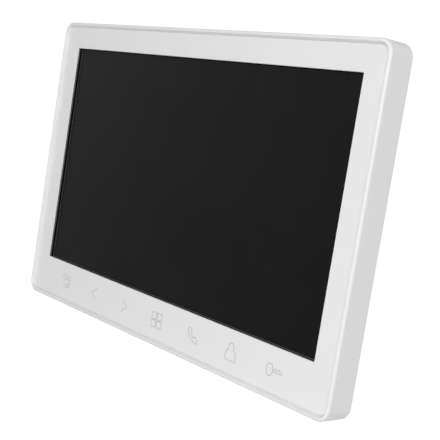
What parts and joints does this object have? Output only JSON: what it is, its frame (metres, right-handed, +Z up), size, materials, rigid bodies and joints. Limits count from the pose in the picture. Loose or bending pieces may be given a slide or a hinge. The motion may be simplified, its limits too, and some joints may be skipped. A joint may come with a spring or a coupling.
{
  "type": "video intercom monitor",
  "caption": "Wall-mounted video intercom monitor: landscape touch-key display in a white case with a raised rim, hung on a steel wall bracket.",
  "frame": {"origin": "centre of the wall bracket's back face, on the wall plane", "axes": "+X to the viewer's right, +Y into the wall, +Z up; the display faces -Y"},
  "size_m": [0.2554, 0.025, 0.165],
  "materials": {
    "case_white": "fine moulded texture, satin",
    "panel_white": "smooth satin with printed grey icons",
    "screen_black": "anti-glare film over a display that is off",
    "display_glass": "dark display glass",
    "foam_black": "closed-cell foam and rubber",
    "bracket_steel": "zinc-plated sheet",
    "tray_steel": "bright pressed sheet",
    "screw_steel": "zinc-plated",
    "diffuser": "clear acrylic light guide",
    "board_green": "glass-fibre board with solder mask",
    "chip_black": "moulded package",
    "socket_green": "moulded terminal socket",
    "switch_black": "moulded",
    "ribbon_amber": "polyimide film",
    "cone_black": "pressed paper cone",
    "label_silver": "blank printed film"
  },
  "bodies": {
    "bracket": {"wall_bracket": "bracket_steel"},
    "monitor": {"alarm_socket": "socket_green", "audio_transformer": "chip_black", "board_screw_1": "screw_steel", "board_screw_2": "screw_steel", "board_screw_3": "screw_steel", "board_screw_4": "screw_steel", "capacitor_1": "tray_steel", "capacitor_2": "tray_steel", "carrier_plate": "tray_steel", "carrier_screw_1": "screw_steel", "carrier_screw_2": "screw_steel", "carrier_screw_3": "screw_steel", "carrier_screw_4": "screw_steel", "clock_battery": "tray_steel", "cover_screw_1": "screw_steel", "cover_screw_2": "screw_steel", "cover_screw_3": "screw_steel", "cover_screw_4": "screw_steel", "display_gasket": "foam_black", "display_glass": "display_glass", "display_ribbon": "ribbon_amber", "display_tray": "tray_steel", "door_socket_1": "socket_green", "door_socket_2": "socket_green", "face_panel": "panel_white", "front_frame": "case_white", "front_polariser": "screen_black", "key_board_screw_1": "screw_steel", "key_board_screw_2": "screw_steel", "key_pad_back": "foam_black", "key_pad_handset": "foam_black", "key_pad_key": "foam_black", "key_pad_left": "foam_black", "key_pad_menu": "foam_black", "key_pad_person": "foam_black", "key_pad_right": "foam_black", "light_guide": "diffuser", "main_board": "board_green", "memory_card_socket": "tray_steel", "memory_chip": "chip_black", "microphone": "tray_steel", "microphone_boot": "foam_black", "power_inductor": "chip_black", "power_inlet": "socket_green", "power_switch_body": "switch_black", "processor": "chip_black", "rating_label": "label_silver", "rear_cover": "case_white", "reset_switch_body": "switch_black", "shield_can": "tray_steel", "speaker_basket": "tray_steel", "speaker_cone": "cone_black", "speaker_gasket": "foam_black", "speaker_lead": "switch_black", "touch_key_board": "board_green", "touch_ribbon": "ribbon_amber"},
    "power_knob": {"power_switch_knob": "switch_black"},
    "reset_plunger": {"reset_button": "switch_black"}
  },
  "joints": [
    {"name": "lift_off", "type": "slide", "parent": "bracket", "child": "monitor", "axis": [0, 0, 1], "range_m": [0, 0.008]},
    {"name": "power_switch", "type": "slide", "parent": "monitor", "child": "power_knob", "axis": [0, 0, 1], "range_m": [0, 0.0025]},
    {"name": "reset_press", "type": "slide", "parent": "monitor", "child": "reset_plunger", "axis": [1, 0, 0], "range_m": [0, 0.0005], "stiffness_N_per_m": 400, "springref_m": -0.002}
  ]
}
